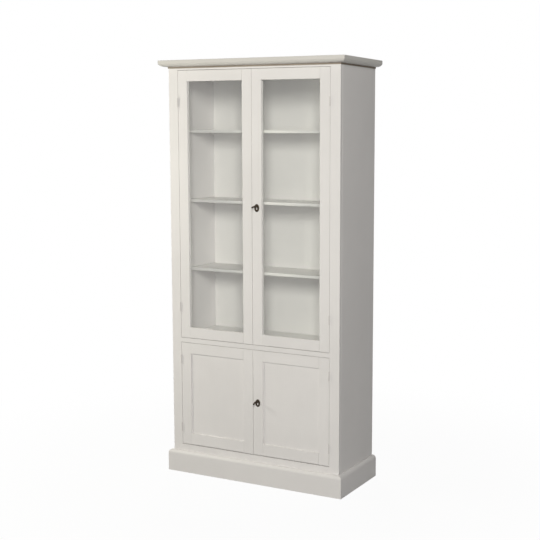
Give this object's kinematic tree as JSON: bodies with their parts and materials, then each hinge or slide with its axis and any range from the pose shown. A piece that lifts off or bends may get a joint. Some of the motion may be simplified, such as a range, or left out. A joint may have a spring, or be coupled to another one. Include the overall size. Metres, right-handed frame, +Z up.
{
  "type": "glazed display cabinet",
  "caption": "Tall free-standing display cabinet with glazed inset doors over panelled ones, butt hinges, key locks, shelves, an overhanging top and a moulded plinth.",
  "frame": {"origin": "middle of the floor under the cabinet, at the centre of the overall box's underside", "axes": "+Z up; +Y from the doors towards the cabinet's back; +X to the cabinet's right as seen from the front"},
  "size_m": [0.988, 0.4, 2],
  "materials": {
    "cream_paint": "brushed satin paint",
    "inner_paint": "matt paint",
    "painted_hinge": "brushed satin paint over steel",
    "clear_glass": "clear float glass",
    "dark_bronze": "dark patinated",
    "lock_steel": "dull steel",
    "catch_brass": "polished"
  },
  "bodies": {
    "carcass": {"back_panel": "inner_paint", "bottom_deck": "inner_paint", "cupboard_shelf": "inner_paint", "face_frame": "cream_paint", "hinge_lower_left_bottom_frame_leaf": "painted_hinge", "hinge_lower_left_top_frame_leaf": "painted_hinge", "hinge_lower_right_bottom_frame_leaf": "painted_hinge", "hinge_lower_right_top_frame_leaf": "painted_hinge", "hinge_upper_left_bottom_frame_leaf": "painted_hinge", "hinge_upper_left_top_frame_leaf": "painted_hinge", "hinge_upper_right_bottom_frame_leaf": "painted_hinge", "hinge_upper_right_top_frame_leaf": "painted_hinge", "middle_deck": "inner_paint", "plinth_front": "cream_paint", "plinth_left": "cream_paint", "plinth_right": "cream_paint", "shelf_bottom": "inner_paint", "shelf_middle": "inner_paint", "shelf_top": "inner_paint", "side_panel_left": "cream_paint", "side_panel_right": "cream_paint", "top_board": "cream_paint"},
    "upper_left_door": {"bullet_catch_upper": "catch_brass", "hinge_upper_left_bottom_door_leaf": "painted_hinge", "hinge_upper_left_top_door_leaf": "painted_hinge", "upper_left_bottom_rail": "cream_paint", "upper_left_glass_pane": "clear_glass", "upper_left_hinge_stile": "cream_paint", "upper_left_meeting_stile": "cream_paint", "upper_left_top_rail": "cream_paint"},
    "upper_right_door": {"escutcheon_upper": "dark_bronze", "hinge_upper_right_bottom_door_leaf": "painted_hinge", "hinge_upper_right_top_door_leaf": "painted_hinge", "lock_case_upper": "lock_steel", "upper_right_bottom_rail": "cream_paint", "upper_right_glass_pane": "clear_glass", "upper_right_hinge_stile": "cream_paint", "upper_right_meeting_stile": "cream_paint", "upper_right_top_rail": "cream_paint"},
    "lower_left_door": {"bullet_catch_lower": "catch_brass", "hinge_lower_left_bottom_door_leaf": "painted_hinge", "hinge_lower_left_top_door_leaf": "painted_hinge", "lower_left_bottom_rail": "cream_paint", "lower_left_hinge_stile": "cream_paint", "lower_left_meeting_stile": "cream_paint", "lower_left_panel": "cream_paint", "lower_left_top_rail": "cream_paint"},
    "lower_right_door": {"escutcheon_lower": "dark_bronze", "hinge_lower_right_bottom_door_leaf": "painted_hinge", "hinge_lower_right_top_door_leaf": "painted_hinge", "lock_case_lower": "lock_steel", "lower_right_bottom_rail": "cream_paint", "lower_right_hinge_stile": "cream_paint", "lower_right_meeting_stile": "cream_paint", "lower_right_panel": "cream_paint", "lower_right_top_rail": "cream_paint"},
    "upper_key": {"key_upper": "dark_bronze"},
    "lower_key": {"key_lower": "dark_bronze"},
    "upper_bolt": {"lock_bolt_upper": "lock_steel"},
    "lower_bolt": {"lock_bolt_lower": "lock_steel"}
  },
  "joints": [
    {"name": "upper_left_door_swing", "type": "hinge", "parent": "carcass", "child": "upper_left_door", "pos_m": [-0.4065, -0.1635, 1.313], "axis": [0, 0, -1], "range_deg": [0, 170]},
    {"name": "upper_right_door_swing", "type": "hinge", "parent": "carcass", "child": "upper_right_door", "pos_m": [0.4065, -0.1635, 1.313], "axis": [0, 0, 1], "range_deg": [0, 170]},
    {"name": "lower_left_door_swing", "type": "hinge", "parent": "carcass", "child": "lower_left_door", "pos_m": [-0.4065, -0.1635, 0.39343], "axis": [0, 0, -1], "range_deg": [0, 170]},
    {"name": "lower_right_door_swing", "type": "hinge", "parent": "carcass", "child": "lower_right_door", "pos_m": [0.4065, -0.1635, 0.39343], "axis": [0, 0, 1], "range_deg": [0, 170]},
    {"name": "upper_key_turn", "type": "hinge", "parent": "upper_right_door", "child": "upper_key", "pos_m": [0.0265, -0.16, 1.3246], "axis": [0, -1, 0], "range_deg": [0, 120]},
    {"name": "upper_bolt_slide", "type": "slide", "parent": "upper_right_door", "child": "upper_bolt", "axis": [-1, 0, 0], "range_m": [0, 0.0096]},
    {"name": "lower_key_turn", "type": "hinge", "parent": "lower_right_door", "child": "lower_key", "pos_m": [0.0265, -0.16, 0.39922], "axis": [0, -1, 0], "range_deg": [-25, 95]},
    {"name": "lower_bolt_slide", "type": "slide", "parent": "lower_right_door", "child": "lower_bolt", "axis": [-1, 0, 0], "range_m": [-0.002, 0.0076]}
  ],
  "couplings": [
    {"joint": "upper_key_turn", "follows": "upper_bolt_slide", "rad_per_m": 218.1},
    {"joint": "lower_key_turn", "follows": "lower_bolt_slide", "rad_per_m": 218.1}
  ]
}
